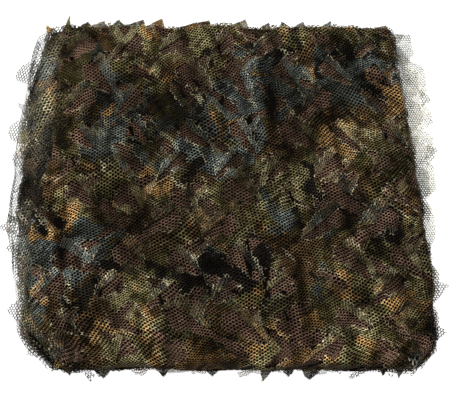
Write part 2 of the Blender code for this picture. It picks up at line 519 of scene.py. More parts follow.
TURNS = (0.15, 3.05)  # the least and most turn at any place of a flap, in radians
CURL = 0.0009  # how high a flap curls
CURL_SIZE = 0.012
CURL_FULL = 0.004  # how far from its hinge it curls in full
PROBE = 0.0005  # a short step, to find which way the laid cloth goes


def turn_flaps(flat, member, arms, laid):
    """Turns every flap up and back about its hinge, and returns the laid points. laid gives the place of
    flat points at a height above the cloth.

    Out from the hinge a flap follows an arc until it has turned by its angle, then goes straight. A flap
    that is turned well back lies along the cloth, and one that is turned less stands stiffly out from its
    hinge."""
    places = flat.copy()
    lift = np.zeros(len(flat))
    stiff = []
    for number in np.unique(member[member > 0]):
        arm = arms[number - 1]
        mine = np.flatnonzero(member == number)
        along, across = arm_frame(arm, flat[mine])
        across = np.maximum(across, 0)
        turn = np.clip(arm.turn + arm.twist * (along / arm.length - 0.5), *TURNS)
        angle = turn * np.minimum(across / arm.roll, 1)
        beyond = np.maximum(across - arm.roll, 0)
        curl = CURL * waves(*flat[mine].T, CURL_SIZE, 31) * np.minimum(across / CURL_FULL, 1)
        out = arm.roll / turn * np.sin(angle) + beyond * np.cos(turn)
        up = arm.roll / turn * (1 - np.cos(angle)) + beyond * np.sin(turn) + curl
        foot = arm.start + along[:, None] * arm.along
        if arm.turn < STIFF_BELOW:
            places[mine] = foot
            stiff.append((mine, np.tile(arm.across, (len(mine), 1)), out, up))
        else:
            places[mine] = foot + out[:, None] * arm.across
            lift[mine] = np.maximum(up, 0)
    points = laid(places, lift)
    if stiff:
        mine, ways, out, up = (np.concatenate(column) for column in zip(*stiff))
        ahead = laid(places[mine] + ways * PROBE, 0.0) - points[mine]
        above = laid(places[mine], PROBE) - points[mine]
        for way, far in (ahead, out), (above, up):
            way *= far[:, None] / np.maximum(np.linalg.norm(way, axis=1, keepdims=True), PROBE / 10)
        points[mine] += ahead + above
        points[:, 2] = np.maximum(points[:, 2], FLOOR_GAP)
    return points


# ----------------------------------------
# Parts of the nets, each a window on the folded cloth

# A window reaches along the strip from begin to end and across it from near to far. light is the share of
# light that the yarn has there, and reverse how much of the print's paler side shows. A ragged margin is a
# cut edge: the length of cloth over which its scallops are cut.
Window = namedtuple(
    "Window",
    "seed begin end near far cuts light reverse ragged_end ragged_far ragged_near",
    defaults=(None, 1.0, 0.0, 0.0, 0.0, 0.0),
)
SCALLOP = 0.026

# A part of a piece: its laid points, its facets, its flat points, the flat centres of its facets, its flat
# size, and the marks that its finish reads, which give every facet a number. Strands come first, then
# junctions.
Part = namedtuple("Part", "points quads triangles flat centres size marks")


def facet_means(values, quads, triangles):
    """The mean of its corners' values for every facet."""
    return np.concatenate((values[quads].mean(axis=1), values[triangles].mean(axis=1)))


def chosen(keep, quads, triangles, *rows):
    """The facets to keep, and what the rows say of them."""
    count = len(quads)
    return quads[keep[:count]], triangles[keep[count:]], *(row[keep] for row in rows)


def shared_corners(quads, triangles):
    """The corners that any facet uses, each once, and the facets in terms of their numbers."""
    found, inverse = np.unique(np.concatenate((quads.ravel(), triangles.ravel())), return_inverse=True)
    return found, inverse[:quads.size].reshape(-1, 4), inverse[quads.size:].reshape(-1, 3)


def window_map(window, offset):
    """A window's flat size, and the two rules from its flat cloth to places along and across the strip.
    Each rule is a row of lengths and a row of places, found by measuring a line through the window."""
    middle = (window.near + window.far) / 2
    if window.far - window.near > 0.5:
        middle = math.floor(middle + 0.01) + 0.5
    spare, count = 0.06, 1500

    def lengthwise(places):
        y, n = across_strip(np.full(places.shape, middle), offset)
        return along_strip(places, y, n)

    def crosswise(places):
        return across_strip(places, offset, 1.0)

    size, rules = [], []
    for begin, end, line in (window.begin, window.end, lengthwise), (window.near, window.far, crosswise):
        places = np.linspace(begin - spare, end + spare, count)
        steps = np.linalg.norm(np.diff(np.stack(line(places), axis=-1), axis=0), axis=1)
        lengths = np.concatenate(([0.0], np.cumsum(steps)))
        lengths -= np.interp(begin, places, lengths)
        size.append(float(np.interp(end, places, lengths)))
        rules.append((lengths, places))
    return size, rules


WARP_SIZE = 0.070
PUCKER_SIZE = 0.019
FOLD_BARE = 0.6  # how much of the light the ground net has where it lies outermost round a fold
TEARS_AT = 1.25  # a flap that a tight fold would stretch to more than this share of its length is torn away
TEARS_RANK = 80  # the percentile of its strands whose stretch is taken
FLAP_REVERSE = 0.17  # how much of the print's paler side shows on a flap that is turned right over


def net_part(window, net):
    """One window's mesh: flat, cut, turned back and laid in its place."""
    size, rules = window_map(window, net.offset)
    wide, deep = size
    seed = window.seed + net.seed
    flat, strands, junctions = honeycomb(wide, deep, net, seed)
    warp = [net.warp * waves(*flat.T, WARP_SIZE, seed + way) for way in (1, 2)]
    flat = flat + np.stack(warp, axis=-1)
    centres = facet_means(flat, strands, junctions)
    a, b = centres.T
    keep = (a > 0) & (b > 0)
    for ragged, inwards, beside, step in (
        (window.ragged_end, wide - a, b, 5),
        (window.ragged_far, deep - b, a, 6),
        (window.ragged_near, b, a, 8),
    ):
        scallop = 0.5 + 0.5 * waves(beside, beside * 0, SCALLOP, seed + step)
        keep &= inwards > ragged * np.clip(scallop, 0, 1)

    leaf_size, leaf_rules = window_map(window, LEAF_NET.offset)
    arms = leaf_cuts(*leaf_size, window.cuts, window.seed + 3) if window.cuts else []
    over = [np.interp(np.interp(column, *own), leaf[1], leaf[0])
            for column, own, leaf in zip(centres.T, rules, leaf_rules)]
    member, edge = cut_faces(np.stack(over, axis=-1), arms)
    # painted light on the ground net: all of it in the leaf net's openings, painted shade under the leaf
    # net, FOLD_BARE round folds
    bare = (member > 0).astype(float) if window.cuts else np.full(len(member), FOLD_BARE)
    if net is GROUND_NET:
        arms, member = [], member * 0
    rows = member, edge, bare, centres
    strands, junctions, member, edge, bare, centres = chosen(keep, strands, junctions, *rows)

    # Facets of one flap share their corner points among themselves only.
    owners = len(arms) + 1
    count = len(strands)
    found, quads, triangles = shared_corners(
        strands * owners + member[:count, None], junctions * owners + member[count:, None])
    flat = flat[found // owners]

    def laid(places, lift):
        """The place of flat points of the net, at a height above its own place on the outer side."""
        lift = lift + net.uneven * np.abs(waves(*places.T, PUCKER_SIZE, seed + 4))
        along, across = (np.interp(column, *rule) for column, rule in zip(places.T, rules))
        y, n = across_strip(across, net.offset - lift, 1.0)
        x, z = along_strip(along, y, n)
        return settle(np.stack((x, y + drift_at(along), z), axis=-1), 1.0)

    points = turn_flaps(flat, found % owners, arms, laid)
    laid_length, length = (np.linalg.norm(p[quads[:, 0]] - p[quads[:, 2]], axis=1) for p in (points, flat))
    stretch, owner = laid_length / length, member[:count]
    flaps = np.unique(owner[owner > 0])
    torn = [flap for flap in flaps if np.percentile(stretch[owner == flap], TEARS_RANK) > TEARS_AT]
    rows = member, edge, bare, centres
    quads, triangles, member, edge, bare, centres = chosen(~np.isin(member, torn), quads, triangles, *rows)
    points[:, 2] -= np.maximum(points[:, 2] - PUFF_TOP, 0) * (1 - PACKED)
    marks = {
        "edge": edge,
        "reverse": np.array([window.reverse] + [FLAP_REVERSE * arm.turn / math.pi for arm in arms])[member],
        "light": facet_means(yarn_light(points) * window.light, quads, triangles),
        "bare": bare,
    }
    return Part(points, quads, triangles, flat, centres, size, marks)


# Tips and tabs of the leaf net that stand out past the pile's edges. Each has its edge and its place along
# it, the height of its root, its length and its breadth, these four in millimetres, then its way in
# degrees, how pointed it is, how far its tip leans aside as a share of half its breadth, how much it rises
# and then droops over its length, and how much of the print's paler side shows.
Tab = namedtuple("Tab", "edge place root length breadth way point lean rise droop reverse")
TAB_ROWS = {
    "back": [
        (-176, 50, 8.5, 10, 118, 1.1, 0.4, 0.4, 0.2, 0.0),
        (-160, 54, 17, 7, 86, 1.4, -0.8, 0.4, 0.1, 0.0),
        (-142, 56, 8.5, 16, 90, 1.0, -0.5, 0.4, 0.2, 0.1),
        (-130, 56, 10, 20, 86, 1.2, -0.9, 0.4, 0.2, 0.5),
        (-110, 58, 8, 22, 92, 1.0, -0.4, 0.4, 0.2, 0.0),
        (-94, 56, 11.5, 28, 86, 1.2, -0.9, 0.4, 0.2, 0.2),
        (-71, 58, 11, 22, 88, 1.2, -0.8, 0.4, 0.2, 0.0),
        (-30, 56, 11, 34, 84, 1.1, -0.9, 0.4, 0.2, 0.1),
        (12, 56, 10, 28, 88, 1.2, -0.8, 0.4, 0.2, 0.2),
        (43, 56, 8, 12, 80, 1.1, -0.5, 0.4, 0.2, 0.0),
        (64, 56, 8.5, 12, 98, 1.2, 0.5, 0.4, 0.2, 0.0),
        (78, 56, 8, 16, 90, 1.0, -0.4, 0.4, 0.2, 0.0),
        (104, 56, 9.5, 14, 84, 1.2, -0.8, 0.4, 0.2, 0.1),
        (160, 50, 8.5, 18, 80, 1.1, -0.7, 0.4, 0.2, 0.0),
    ],
    "front": [
        (-152, 22, 10, 18, 262, 1.0, 0.6, 0.1, 0.4, 0.1),
        (-120, 10, 11, 22, 262, 1.0, 0.5, 0.1, 0.4, 0.2),
        (-100, 26, 9, 14, 258, 1.1, -0.7, 0.1, 0.4, 0.1),
        (-62, 18, 10, 20, 254, 1.1, 0.8, 0.1, 0.4, 0.0),
        (-10, 8, 9, 18, 268, 0.9, 0.0, 0.1, 0.4, 0.5),
        (43, 24, 17, 14, 240, 0.9, 0.6, 0.1, 0.4, 0.8),
        (62, 12, 10, 18, 265, 0.9, 0.3, 0.1, 0.4, 0.5),
        (88, 18, 13, 24, 280, 0.7, -0.5, 0.1, 0.4, 1.0),
        (157, 26, 11, 14, 284, 1.1, -0.8, 0.1, 0.4, 0.3),
        (174, 12, 11, 12, 280, 1.2, -0.8, 0.1, 0.4, 0.3),
    ],
    "left": [
        (136, 22, 21, 28, 174, 0.4, 0.2, 0.2, 0.4, 1.0),
        (72, 18, 18, 28, 178, 0.4, 0.0, 0.2, 0.4, 1.0),
        (44, 14, 11, 24, 184, 0.5, 0.0, 0.1, 0.1, 0.9),
        (-27, 16, 18, 18, 180, 0.8, 0.4, 0.2, 0.4, 1.0),
        (-52, 12, 13, 16, 184, 0.8, -0.4, 0.1, 0.2, 0.9),
        (-118, 12, 18, 28, 186, 0.8, -0.5, 0.2, 0.3, 1.0),
        (-152, 8, 13, 16, 205, 0.8, 0.0, 0.1, 0.2, 1.0),
    ],
    "right": [
        (116, 4, 11, 20, 4, 0.9, -0.3, 0.1, 0.1, 1.0),
        (52, 4, 12, 24, -4, 0.8, 0.4, 0.1, 0.1, 1.0),
        (-94, 6, 19, 22, 8, 0.9, 0.4, 0.1, 0.1, 1.0),
        (-134, 4, 14, 18, -12, 0.7, 0.2, 0.1, 0.1, 1.0),
    ],
}
TABS = [
    Tab(edge, *(size / 1000 for size in row[:4]), *row[4:])
    for edge, rows in TAB_ROWS.items()
    for row in rows
]
ROOTED = 0.005  # how far inside the edge a tab's root is
TAB_LIGHT = 0.6


def tab_root(tab):
    """The point where a tab leaves its edge."""
    inside = HALF_DEPTH + 0.004 - ROOTED
    if tab.edge == "back":
        return tab.place + SIDEWAYS, inside
    if tab.edge == "front":
        return tab.place + SIDEWAYS, -inside
    if tab.edge == "left":
        return float(outline("left_low", tab.place)) + ROOTED + SIDEWAYS, tab.place
    reach = outline("right_low", tab.place) - BEND_REACH + outline("loose", tab.place)
    return float(reach) - ROOTED + SIDEWAYS, tab.place


def cut_part(net, size, seed, inside, lay_out, edge, reverse):
    """A flat mesh cut to a shape and laid out by a rule of its own.

    inside says which facet centres are kept, lay_out gives the places of flat points, and edge how near a
    cut a facet is."""
    flat, strands, junctions = honeycomb(*size, net, seed)
    centres = facet_means(flat, strands, junctions)
    strands, junctions, centres = chosen(inside(*centres.T), strands, junctions, centres)
    found, quads, triangles = shared_corners(strands, junctions)
    points = lay_out(*flat[found].T)
    points[:, 2] = np.maximum(points[:, 2], FLOOR_GAP)
    count = len(centres)
    marks = {
        "edge": edge(*centres.T),
        "reverse": np.full(count, reverse),
        "light": np.full(count, TAB_LIGHT),
        "bare": np.ones(count),
    }
    return Part(points, quads, triangles, flat[found], centres, size, marks)


TIP_NET = LEAF_NET._replace(column=0.0013, strand=0.00086)  # tips curl in, which draws their mesh together
TIP_EDGES = ("back", "front")  # where the tabs are tips of two plies
PLY_GAP = 0.0007  # between one ply and the next
SLACK_NET = LEAF_NET._replace(column=0.00285, turn=0.62)  # slack cloth, skewed by its own weight
LOOSE_NET = LEAF_NET._replace(column=0.00225, strand=0.00080, turn=0.50)


def tab_part(tab, ply):
    """A leaf-shaped tab of the leaf net, from its root outwards, or its second ply just under the first.

    Flat, its breadth narrows to its tip as (1 - share^1.3)^point, and its middle leans aside with the
    share. Laid, it goes straight along its way, and its height above its root is rise b - droop b^2 /
    length, with a slight wave."""
    way = math.radians(tab.way)
    seed = 500 + TABS.index(tab) + 40 * ply
    x, y = tab_root(tab)

    def half(b):
        return tab.breadth / 2 * (1 - np.clip(b / tab.length, 0, 1) ** 1.3) ** tab.point

    def aside(a, b):
        """How far a place is from the tab's leaning middle."""
        return np.abs(a - tab.breadth / 2 * (1 + tab.lean * np.clip(b / tab.length, 0, 1)))

    def inside(a, b):
        return (aside(a, b) < half(b)) & (b > 0)

    def edge(a, b):
        return ease(aside(a, b), half(b) - CUT_HIGHLIGHT, half(b))

    def lay_out(a, b):
        across = a - tab.breadth / 2
        up = tab.rise * b - tab.droop * b * b / tab.length
        up += 0.0012 * waves(across, b, 0.014, seed) * b / tab.length
        return np.stack((
            x + b * math.cos(way) - across * math.sin(way),
            y + b * math.sin(way) + across * math.cos(way),
            tab.root + up - PLY_GAP * ply,
        ), axis=-1)

    net = TIP_NET if tab.edge in TIP_EDGES else LEAF_NET
    return cut_part(net, (tab.breadth, tab.length), seed, inside, lay_out, edge, tab.reverse)


# A torn edge: how deep its bites are, how far apart, and their seed.
Bites = namedtuple("Bites", "depth size seed")

LOOSE_LONG = 2 * HALF_DEPTH + 0.006
LOOSE_DEEP = 0.060  # how far the loose end reaches in under the pile from its outer edge
LOOSE_OUT = 0.004  # how far out past the outline's own loose end it lies
LOOSE_BACK = 0.016  # how far its corner reaches past the pile's back
LOOSE_CORNER = 0.034  # how far in from its outer edge that corner goes
LOOSE_UP = 0.0017
LOOSE_LIGHT = 2.4
LOOSE_SHADE = 2.1  # how much less light it has under the pile
LOOSE_SHADED = (0.018, 0.036)  # how far in from its outer edge the shade begins and is full
SECOND_PLY_SHORTER = 0.22  # by this share of how far the first ply reaches


def torn_ply(net, seed, size, past, bites, lay_out, reverse):
    """A ply with a torn outer edge: a goes from that edge inwards and b from the front to the back, where a
    corner of it reaches past the rest. The bites come to points: 1 less a rectified wave."""
    deep, long = size

    def bite(b):
        return bites.depth * (1 - np.abs(waves(b, b * 0, bites.size, bites.seed)) ** 0.8).clip(0, 1)

    def inside(a, b):
        reaches = (b < long) | (a < LOOSE_CORNER)
        return reaches & (a > bite(b)) & (a < deep) & (b > 0) & (b < long + past)

    def edge(a, b):
        return 1 - ease(a, bite(b), bite(b) + CUT_HIGHLIGHT)

    return cut_part(net, (deep, long + past), seed, inside, lay_out, edge, reverse)


def loose_part(ply):
    """A ply of the lowest layer's cut end, lying out past the pile on the right: flat but for slight waves,
    its outer edge along the outline's loose end. The second lies on the first and is shorter. Both are
    dark under the pile."""

    def lay_out(a, b):
        y = b - LOOSE_LONG / 2
        reach = outline("loose", y) * (1 - SECOND_PLY_SHORTER * ply)
        x = outline("right_low", y) - BEND_REACH + reach + LOOSE_OUT - a
        up = LOOSE_UP + 0.0014 * waves(a, b, 0.040, 402) + 0.0010 * np.abs(waves(a, b, 0.020, 403))
        return np.stack((x + SIDEWAYS, y, up + PLY_GAP * ply), axis=-1)

    seed = 400 + 10 * ply
    bites = Bites(0.011, 0.060, seed + 1)
    part = torn_ply(LOOSE_NET, seed, (LOOSE_DEEP, LOOSE_LONG), LOOSE_BACK, bites, lay_out, 0.9)
    part.marks["light"] = LOOSE_LIGHT - LOOSE_SHADE * ease(part.centres[:, 0], *LOOSE_SHADED)
    return part


SLACK_LONG = 2 * HALF_DEPTH + 0.004
SLACK_DEEP = 0.068  # how far the slack ply reaches from under the top run's end to its outer edge
SLACK_TOP = 0.0560
SLACK_FOOT = 0.0070
SLACK_LIGHT = 2.1
SLACK_DULLED = 1.3  # how much less light its ridges have than its valleys
SLACK_HIDDEN = (SLACK_DEEP - 0.022, SLACK_DEEP - 0.008)  # where the top run begins to hide it, and hides it


def slack_part():
    """A slack ply of the leaf net over the left bends. It lies on a quarter of an ellipse from under the
    top run's end down to its foot, in ripples that run along the side. Its valleys are lighter, and it is
    dark where it is hidden under the top run."""

    def ripples(a, b):
        return np.abs(waves(a, b * 0.2, 0.022, 423))

    def lay_out(a, b):
        y = b - SLACK_LONG / 2
        turned = (1 - np.clip(a / SLACK_DEEP, 0, 1)) * math.pi / 2
        head = outline("top_end", y) + 0.010
        foot = outline("left_low", y) - 0.0015
        ripple = 0.0016 * waves(a, b, 0.050, 422) + 0.0026 * ripples(a, b)
        x = head + (foot - head - ripple) * np.sin(turned)
        rise = SLACK_TOP - SLACK_FOOT + pillows(x, y) + ripple
        return np.stack((x + SIDEWAYS, y, SLACK_FOOT + rise * np.cos(turned)), axis=-1)

    bites = Bites(0.007, 0.055, 421)
    part = torn_ply(SLACK_NET, 420, (SLACK_DEEP, SLACK_LONG), 0.0, bites, lay_out, 0.25)
    hidden = ease(part.centres[:, 0], *SLACK_HIDDEN)
    part.marks["light"] = (SLACK_LIGHT - SLACK_DULLED * ripples(*part.centres.T)) * (1 - 0.9 * hidden)
    return part


def place_object(name, data):
    """A new object in the scene."""
    obj = bpy.data.objects.new(name, data)
    bpy.context.scene.collection.objects.link(obj)
    return obj


def stops(count, length, steps, turn_steps):
    """Places along or across the strip: so many steps in each straight part and in each turn between."""
    straight = [np.linspace(2 * i, 2 * i + length, steps + 1) for i in range(count)]
    turns = [np.linspace(2 * i + 1, 2 * i + 2, turn_steps + 1)[1:-1] for i in range(count - 1)]
    return np.sort(np.concatenate(straight + turns))


INNER_HALF = 0.0005  # half the thickness of the inner sheet
INNER_HEIGHT = 0.58  # its share of the strip's thickness
INNER_DEPTH = 0.998  # its share of the strip's depth
INNER_LOFT = 0.7  # its share of the loft of the sheets on top
INNER_INSET = 0.004  # how much further in its left bends lie
CLOTH_STEP = (0.19, 0.18)  # metres of its print map in a run and in a layer


def inner_layers(name):
    """The layers inside the pile: one closed folded sheet, a little thinner and shorter than the nets.

    A line follows the layers and folds across the strip, once on each side of the sheet, and is carried
    along every run and bend. Its mark says how near a facet is to the folds at the front and the back."""
    along = stops(RUNS, 1, 26, 6)
    across = stops(LAYERS, 0.9999, 24, 4)
    around = np.concatenate((across, across[::-1]))
    offset = np.repeat((-INNER_HALF, INNER_HALF), len(across))
    rings, ring = len(along), len(around)
    at, which = pairings(along, np.arange(ring))
    y, n = across_strip(around[which], offset[which])
    x, z = along_strip(at, y * INNER_DEPTH, n * INNER_HEIGHT)
    x = x + INNER_INSET * ease(-x, 0.16, 0.20)
    points = settle(np.stack((x, y * INNER_DEPTH + drift_at(at), z), axis=-1), INNER_LOFT)
    i, j = pairings(np.arange(rings - 1), np.arange(ring))
    after = (j + 1) % ring
    here = i * ring
    walls = np.stack((here + j, here + after, here + ring + after, here + ring + j), axis=-1)
    k = np.arange(len(across) - 1)
    cap = np.stack((k, ring - 1 - k, ring - 2 - k, k + 1), axis=-1)
    faces = np.concatenate((walls, cap, cap[:, ::-1] + (rings - 1) * ring))
    mesh = bpy.data.meshes.new(name)
    mesh.from_pydata(points.tolist(), [], faces.tolist())
    underside = which >= len(across)
    cloth = np.stack((at * CLOTH_STEP[0], around[which] * CLOTH_STEP[1] + underside * 0.7), axis=-1)
    mesh.uv_layers.new(name="cloth").data.foreach_set("uv", cloth[faces.ravel()].astype(np.float32).ravel())
    # painted light where the inner folds come out at the front and the back, painted shade on the rest
    bare = ease(np.abs(points[faces].mean(axis=1)[:, 1]), HALF_DEPTH - 0.007, HALF_DEPTH - 0.001)
    mesh.attributes.new("bare", "FLOAT", "FACE").data.foreach_set("value", bare.astype(np.float32))
    mesh.shade_smooth()
    return place_object(name, mesh)


# ----------------------------------------
# Meshes

BAKE_WIDTH = 0.46  # metres of flat cloth across a piece's bake layout
BAKE_GAP = 0.004
PRINT_STEP = (0.37, 0.53)  # how far on in the print each part of a piece starts
# Where the corners of strands and of junctions lie on the strand map: along the yarn from 0 to 1, and
# across it from -1 to 1.
STRAND_CORNERS = {"quads": ((0, -1), (1, -1), (1, 1), (0, 1)), "triangles": (0.5, 0)}


def bake_places(parts):
    """A flat layout of all parts of a piece without overlap, in the unit square: each part is cut into
    lengths of BAKE_WIDTH, and the lengths are laid in rows. A facet goes whole with its centre. The layout
    gives the number of each facet's length, and each part's first row and rows' pitch."""
    row_start = 0.0
    places = []
    for part in parts:
        pitch = part.size[1] + 2 * BAKE_GAP
        chunk = np.clip(np.floor(part.centres[:, 0] / BAKE_WIDTH), 0, None)
        places.append((chunk, row_start, pitch))
        row_start += pitch * (int(chunk.max()) + 1)
    return places, 1 / max(BAKE_WIDTH + 2 * BAKE_GAP, row_start)


def net_piece(name, parts, material):
    """Joins parts into one mesh object with its three UV maps and the marks that its finish reads."""
    places, scale = bake_places(parts)
    firsts = np.cumsum([0] + [len(part.points) for part in parts])
    faces = []
    maps = {"cloth": [], "strand": [], "OFBake": []}
    marks = {label: [] for label in parts[0].marks}
    for kind, corners in STRAND_CORNERS.items():
        for number, (part, (chunk, row_start, pitch)) in enumerate(zip(parts, places)):
            facets = getattr(part, kind)
            count = len(part.quads)
            span = slice(0, count) if kind == "quads" else slice(count, None)
            faces += (facets + firsts[number]).tolist()
            flat = part.flat[facets]
            shift = chunk[span][:, None]
            bake_a = flat[:, :, 0] - shift * BAKE_WIDTH + BAKE_GAP
            bake_b = flat[:, :, 1] + row_start + shift * pitch + BAKE_GAP
            maps["cloth"].append(flat + np.array(PRINT_STEP) * number)
            maps["strand"].append(np.broadcast_to(corners, flat.shape))
            maps["OFBake"].append(np.stack((bake_a, bake_b), axis=-1) * scale)
            for label, rows in marks.items():
                rows.append(part.marks[label][span])
    mesh = bpy.data.meshes.new(name)
    mesh.from_pydata(np.concatenate([part.points for part in parts]).tolist(), [], faces)
    for label, rows in maps.items():
        values = np.concatenate([row.ravel() for row in rows])
        mesh.uv_layers.new(name=label).data.foreach_set("uv", values.astype(np.float32))
    for label, rows in marks.items():
        values = np.concatenate(rows)
        mesh.attributes.new(label, "FLOAT", "FACE").data.foreach_set("value", values.astype(np.float32))
    mesh.shade_smooth()
    mesh.materials.append(material)
    return place_object(name, mesh)


# ----------------------------------------
# Finishes


class Value:
    """A number that varies over a surface. Python's operators add the Math nodes that work it out."""

    def __init__(self, finish, socket):
        self.finish = finish
        self.socket = socket

    def worked(self, operation, first, second):
        node = self.finish.node("Math", {"operation": operation}, {0: first, 1: second})
        return Value(self.finish, node.outputs[0])

    def __add__(self, other):
        return self.worked("ADD", self, other)

    def __radd__(self, other):
        return self.worked("ADD", other, self)

    def __sub__(self, other):
        return self.worked("SUBTRACT", self, other)

    def __rsub__(self, other):
        return self.worked("SUBTRACT", other, self)

    def __mul__(self, other):
        return self.worked("MULTIPLY", self, other)

    def __rmul__(self, other):
        return self.worked("MULTIPLY", other, self)


class Finish:
    """A material under construction."""

    def __init__(self, name, roughness):
        self.material = bpy.data.materials.new(name)
        self.material.use_nodes = True
        self.tree = self.material.node_tree
        self.shader = self.tree.nodes["Principled BSDF"]
        self.shader.inputs["Roughness"].default_value = roughness
        self.shader.inputs["Specular IOR Level"].default_value = 0.03

    def node(self, kind, settings=None, inputs=None):
        """A shader node of a kind, with its settings and then the values or links of its sockets."""
        node = self.tree.nodes.new("ShaderNode" + kind)
        for name, value in (settings or {}).items():
            setattr(node, name, value)
        for name, value in (inputs or {}).items():
            self.fill(node.inputs[name], value)
        return node

    def fill(self, socket, value):
        """Gives a socket a plain value or a link."""
        source = value.socket if isinstance(value, Value) else value
        if isinstance(source, bpy.types.NodeSocket):
            self.tree.links.new(source, socket)
        else:
            socket.default_value = source

    def map(self, name):
        return self.node("UVMap", {"uv_map": name}).outputs[0]

    def attribute(self, name):
        return Value(self, self.node("Attribute", {"attribute_name": name}).outputs["Fac"])

    def placed(self, vector, move=(0, 0, 0), turn=0.0, stretch=(1, 1, 1)):
        inputs = {"Vector": vector, "Location": move, "Rotation": (0, 0, turn), "Scale": stretch}
        return self.node("Mapping", {}, inputs).outputs[0]

    def noise(self, vector, size, detail=2.0, rough=0.5, distortion=0.0):
        inputs = {"Vector": vector, "Scale": 1 / size, "Detail": detail, "Roughness": rough}
        inputs["Distortion"] = distortion
        return Value(self, self.node("TexNoise", {}, inputs).outputs[0])

    def between(self, value, low, high):
        """0 below low, 1 above high, eased between them."""
        settings = {"interpolation_type": "SMOOTHSTEP"}
        node = self.node("MapRange", settings, {"Value": value, "From Min": low, "From Max": high})
        return Value(self, node.outputs[0])

    def mixed(self, share, first, second):
        return self.node("Mix", {"data_type": "RGBA"}, {0: share, 6: first, 7: second}).outputs[2]

    def rounded_strands(self):
        """Lifts the middle of every strand above its two sides, as a round yarn: height 1 - across^2."""
        split = self.node("SeparateXYZ", {}, {0: self.map("strand")})
        across = Value(self, split.outputs[1])
        bump = self.node("Bump", {}, {"Height": 1.0 - across * across, "Distance": 0.0004})
        self.fill(self.shader.inputs["Normal"], bump.outputs[0])

    def shaded(self, vector, least, span):
        """The light on the yarn: broad patches of light and shade, from least up, times its place's own."""
        patches = self.between(self.noise(vector, 0.060, 2.0, 0.6), 0.36, 0.64)
        return (least + patches * span) * (0.30 + self.attribute("light") * 1.25)

    def dye_and_painted_light(self, cloth, colour, light, least):
        """Gives round yarn its dye's colour times painted light, with painted glints from yarn to yarn."""
        self.colour(self.dimmed(colour, light * self.mottled(cloth, least)))
        self.rounded_strands()

    def mottled(self, cloth, least):
        """Painted glints and dim specks of twisted yarn, from yarn to yarn: from least to as much above 1.
        """
        speck = self.between(self.noise(cloth, 0.0013, 1.0), 0.30, 0.70)
        return least + speck * (2 - 2 * least)

    def dimmed(self, colour, share):
        """A colour with its light multiplied by a share. Light that reaches low yarn has turned brown on
        its way, so green and blue fall faster."""
        low = share.worked("MINIMUM", share, 1.15)
        lights = {0: share, 1: share * (0.94 + low * 0.06), 2: share * (0.76 + low * 0.24)}
        light = self.node("CombineXYZ", {}, lights).outputs[0]
        return self.node("VectorMath", {"operation": "MULTIPLY"}, {0: colour, 1: light}).outputs[0]

    def colour(self, value):
        self.fill(self.shader.inputs["Base Color"], value)


LAMP_SHARE = 0.245  # the lamps turn white paper well past white, so every dye takes this share of its light


def tone(red, green, blue):
    """The linear light, as the shader takes it, of a dye's colour under the lamps, in 256 steps."""
    steps = np.array((red, green, blue)) / 255
    linear = np.where(steps <= 0.04045, steps / 12.92, ((steps + 0.055) / 1.055) ** 2.4)
    return (*(linear * LAMP_SHARE).tolist(), 1.0)


def printed_mesh():
    """Camouflage printed on the leaf net: patches of six tones with torn edges, crossed by blades of grass.

    The print's reverse is paler and greyer, a painted highlight lies on the yarn along a cut, and painted
    shade darkens it in the valleys."""
    finish = Finish("printed_mesh", 0.7)
    cloth = finish.map("cloth")
    torn = finish.noise(cloth, 0.011, 4.0, 0.65)
    zone = finish.noise(finish.placed(cloth, (4, 2, 0), stretch=(0.5, 1, 1)), 0.150, 1.0) - 0.5

    def patch(size, move, level, soft, pull=0.0):
        """Torn blots of about one size, more of them where the print's zones pull the same way."""
        blots = finish.noise(finish.placed(cloth, move), size, 2.0, 0.5, 0.6)
        return finish.between(blots + (torn - 0.5) * 0.4 + zone * pull, level, level + soft)

    def blades(turn, level):
        """Long thin strokes, turned on the cloth: noise stretched to four times its length."""
        turned = finish.placed(finish.placed(cloth, (4, 4, 0), turn), stretch=(1, 0.25, 1))
        return finish.between(finish.noise(turned, 0.009, 2.0, 0.6, 0.4), level, level + 0.06) * 0.7

    colour = finish.mixed(patch(0.050, (3, 1, 0), 0.46, 0.08), tone(104, 96, 57), tone(100, 77, 49))
    for share, dye in (
        (patch(0.060, (8, 2, 0), 0.53, 0.08, -0.5), tone(148, 138, 94)),
        (patch(0.090, (7, 5, 0), 0.535, 0.05, 1.0), tone(106, 113, 106)),
        (patch(0.036, (5, 4, 0), 0.605, 0.05, -0.6), tone(184, 144, 90)),
        (patch(0.060, (2, 9, 0), 0.585, 0.05, 0.6), tone(38, 34, 28)),
        (blades(0.9, 0.56), tone(30, 26, 18)),
        (blades(-0.7, 0.62), tone(192, 184, 148)),
        (finish.attribute("reverse") * 0.8, tone(160, 160, 146)),
        # a painted highlight in pale cream along cut and torn edges
        (finish.attribute("edge") * 0.5, tone(230, 216, 176)),
    ):
        colour = finish.mixed(share, colour, dye)
    light = finish.shaded(finish.placed(cloth, (3, 13, 0)), 0.32, 1.25)
    finish.dye_and_painted_light(cloth, colour, light, 0.2)
    return finish.material


def brown_mesh():
    """The ground net's plain brown yarn, a little redder and greyer from place to place. Painted shade
    darkens it under the leaf net; where it shows through an opening it is lighter."""
    finish = Finish("brown_mesh", 0.7)
    cloth = finish.map("cloth")
    colour = finish.mixed(finish.noise(cloth, 0.05), tone(124, 94, 76), tone(104, 84, 68))
    # painted shade where the leaf net covers the ground net
    light = finish.shaded(cloth, 0.60, 0.7) * (0.05 + finish.attribute("bare") * 0.95)
    finish.dye_and_painted_light(cloth, colour, light, 0.3)
    return finish.material


